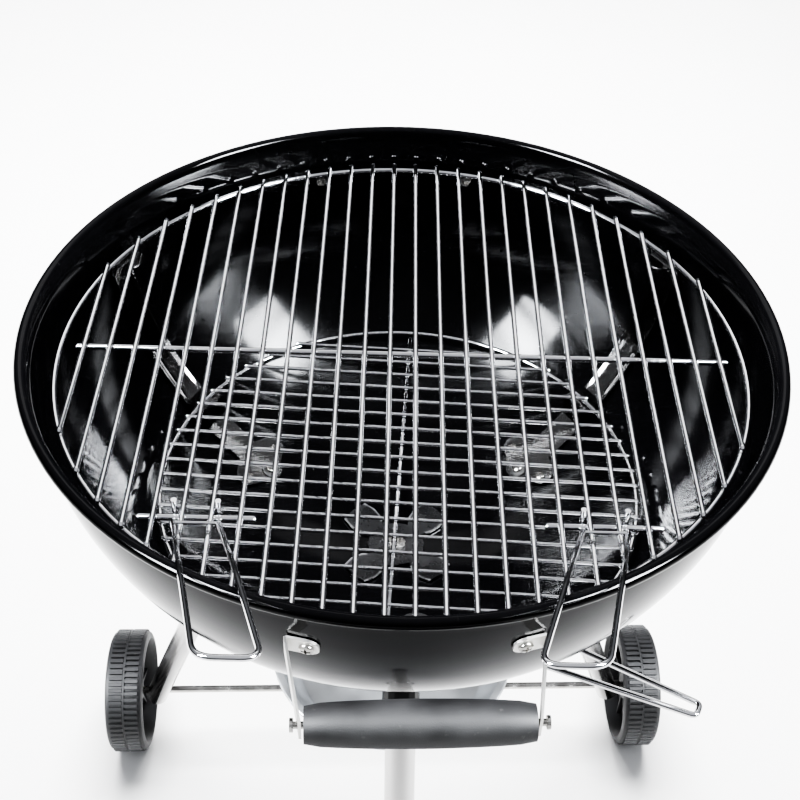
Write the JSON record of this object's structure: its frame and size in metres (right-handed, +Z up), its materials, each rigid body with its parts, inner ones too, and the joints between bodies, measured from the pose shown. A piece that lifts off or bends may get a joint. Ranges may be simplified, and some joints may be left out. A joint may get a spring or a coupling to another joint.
{
  "type": "kettle charcoal grill",
  "caption": "Round open kettle grill on a tripod with two wheels, lift-out wire grates, folding wire handles, a bottom ash vent with a lever and an ash dish.",
  "frame": {"origin": "on the ground, under the bowl's centre", "axes": "+Z up, +Y towards the wheels and the rear handle, +X to the right as seen from the front"},
  "size_m": [0.6448, 0.685, 0.7765],
  "materials": {
    "black_enamel": "gloss black enamel",
    "chrome_wire": "bright plated wire",
    "satin_steel": "satin plated steel",
    "zinc_bolt": "zinc plated steel",
    "dark_steel": "heat-darkened steel",
    "aluminium": "matt aluminium",
    "black_plastic": "black moulded plastic"
  },
  "bodies": {
    "frame": {"bowl": "black_enamel", "foot_cap": "black_plastic", "axle": "zinc_bolt", "axle_cap_left": "zinc_bolt", "axle_cap_right": "zinc_bolt", "dish_holder": "chrome_wire", "support_strap_front": "satin_steel", "leg_socket_front": "black_enamel", "leg_front": "satin_steel", "leg_washer_front": "zinc_bolt", "leg_bolt_front_1": "zinc_bolt", "leg_bolt_front_2": "zinc_bolt", "leg_bolt_front_3": "zinc_bolt", "support_strap_left": "satin_steel", "leg_socket_left": "black_enamel", "leg_left": "satin_steel", "leg_washer_left": "zinc_bolt", "leg_bolt_left_1": "zinc_bolt", "leg_bolt_left_2": "zinc_bolt", "leg_bolt_left_3": "zinc_bolt", "support_strap_right": "satin_steel", "leg_socket_right": "black_enamel", "leg_right": "satin_steel", "leg_washer_right": "zinc_bolt", "leg_bolt_right_1": "zinc_bolt", "leg_bolt_right_2": "zinc_bolt", "leg_bolt_right_3": "zinc_bolt", "grip_front": "black_plastic", "grip_rod_front": "zinc_bolt", "handle_strap_front_left": "satin_steel", "handle_strap_front_right": "satin_steel", "handle_screw_front_left": "zinc_bolt", "handle_screw_front_right": "zinc_bolt", "handle_nut_front_left": "zinc_bolt", "handle_nut_front_right": "zinc_bolt", "grip_rear": "black_plastic", "grip_rod_rear": "zinc_bolt", "handle_strap_rear_left": "satin_steel", "handle_strap_rear_right": "satin_steel", "handle_screw_rear_left": "zinc_bolt", "handle_screw_rear_right": "zinc_bolt", "handle_nut_rear_left": "zinc_bolt", "handle_nut_rear_right": "zinc_bolt"},
    "cooking_grate": {"cooking_grate": "chrome_wire"},
    "bail_left": {"grate_handle_left": "chrome_wire"},
    "bail_right": {"grate_handle_right": "chrome_wire"},
    "charcoal_grate": {"charcoal_grate": "chrome_wire"},
    "vent": {"ash_blades": "dark_steel", "hub_nut": "zinc_bolt", "vent_spindle": "zinc_bolt", "vent_lever": "chrome_wire", "lever_yoke": "satin_steel"},
    "ash_dish": {"ash_dish": "aluminium"},
    "wheel_left": {"wheel_left": "black_plastic"},
    "wheel_right": {"wheel_right": "black_plastic"}
  },
  "joints": [
    {"name": "cooking_grate_lift", "type": "slide", "parent": "frame", "child": "cooking_grate", "axis": [0, 0, 1], "range_m": [0, 0.25]},
    {"name": "bail_left_fold", "type": "hinge", "parent": "cooking_grate", "child": "bail_left", "pos_m": [-0.14339, -0.16688, 0.708], "axis": [-0.9992, 0.0401, 0], "range_deg": [0, 100]},
    {"name": "bail_right_fold", "type": "hinge", "parent": "cooking_grate", "child": "bail_right", "pos_m": [0.12939, -0.17784, 0.708], "axis": [-0.9992, 0.0401, 0], "range_deg": [0, 100]},
    {"name": "charcoal_grate_lift", "type": "slide", "parent": "frame", "child": "charcoal_grate", "axis": [0, 0, 1], "range_m": [0, 0.1]},
    {"name": "vent_turn", "type": "hinge", "parent": "frame", "child": "vent", "pos_m": [0, 0, 0.429], "axis": [0, 0, -1], "range_deg": [0, 45]},
    {"name": "ash_dish_lift", "type": "slide", "parent": "frame", "child": "ash_dish", "axis": [0, 0, 1], "range_m": [0, 0.055]},
    {"name": "wheel_left_spin", "type": "hinge", "parent": "frame", "child": "wheel_left", "pos_m": [-0.2939, 0.15165, 0.07], "axis": [1, 0, 0], "continuous": true},
    {"name": "wheel_right_spin", "type": "hinge", "parent": "frame", "child": "wheel_right", "pos_m": [0.2939, 0.15165, 0.07], "axis": [1, 0, 0], "continuous": true}
  ]
}
